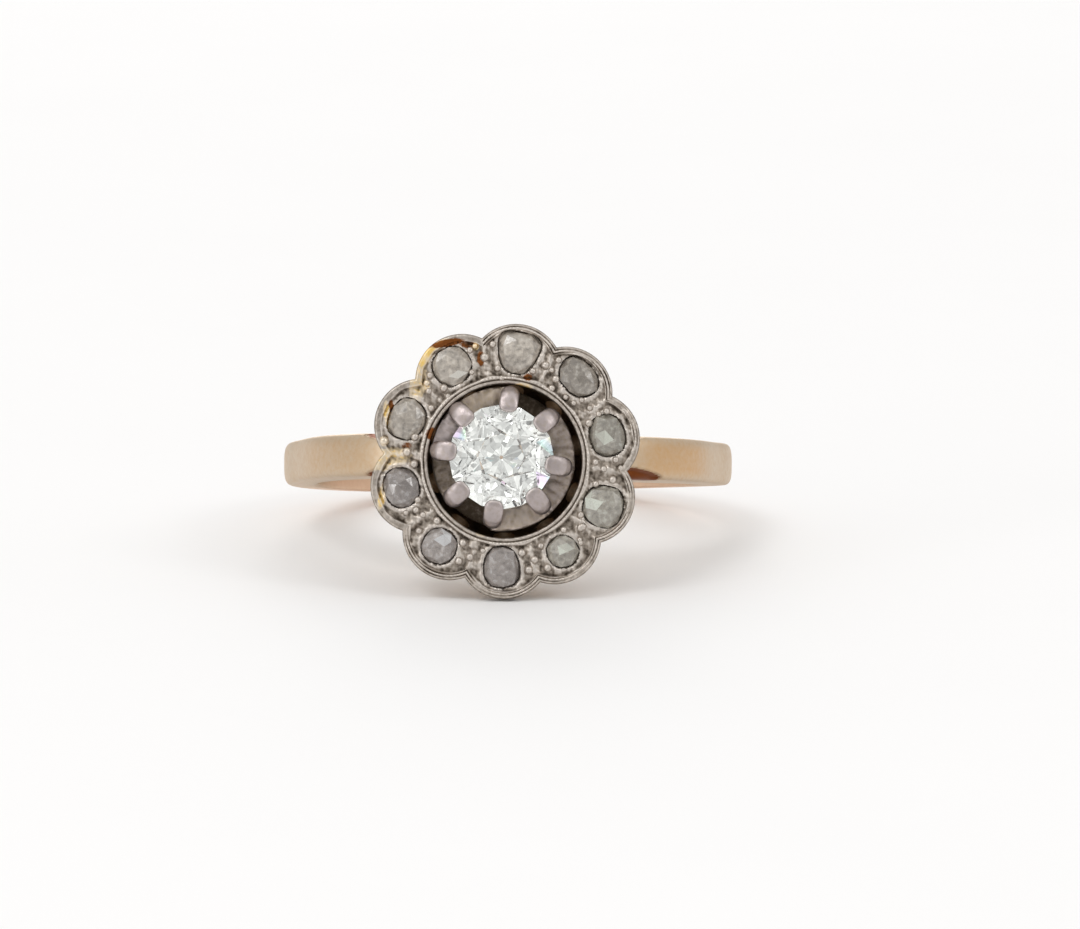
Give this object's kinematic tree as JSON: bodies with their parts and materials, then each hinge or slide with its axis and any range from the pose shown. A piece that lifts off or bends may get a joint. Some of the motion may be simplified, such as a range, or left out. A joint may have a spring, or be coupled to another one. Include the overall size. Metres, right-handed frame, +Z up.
{
  "type": "cluster ring",
  "caption": "Cluster ring lying on its side: a gold band with rising shoulders and open gallery, and a flower of small rose-cut stones round an old-cut stone in a claw collet.",
  "frame": {"origin": "centre of the overall box in X and Y, on the surface that the ring lies on", "axes": "+X to the right seen from the stones' side, -Y towards which the stones face, +Z up; the finger's axis stands 13.8 degrees from +Z, leaning to +Y"},
  "size_m": [0.02, 0.0238, 0.0117],
  "materials": {
    "gold": "worn satin rose-yellow gold",
    "white_metal": "worn grey white metal",
    "collet_metal": "soft polished grey white metal",
    "diamond": "clear old-cut stone",
    "rose_diamond": "grey rose-cut stone"
  },
  "bodies": {
    "root": {"shank": "gold", "cluster": "white_metal", "collet": "collet_metal", "centre_stone": "diamond", "rose_1": "rose_diamond", "rose_2": "rose_diamond", "rose_3": "rose_diamond", "rose_4": "rose_diamond", "rose_5": "rose_diamond", "rose_6": "rose_diamond", "rose_7": "rose_diamond", "rose_8": "rose_diamond", "rose_9": "rose_diamond", "rose_10": "rose_diamond"}
  },
  "joints": []
}
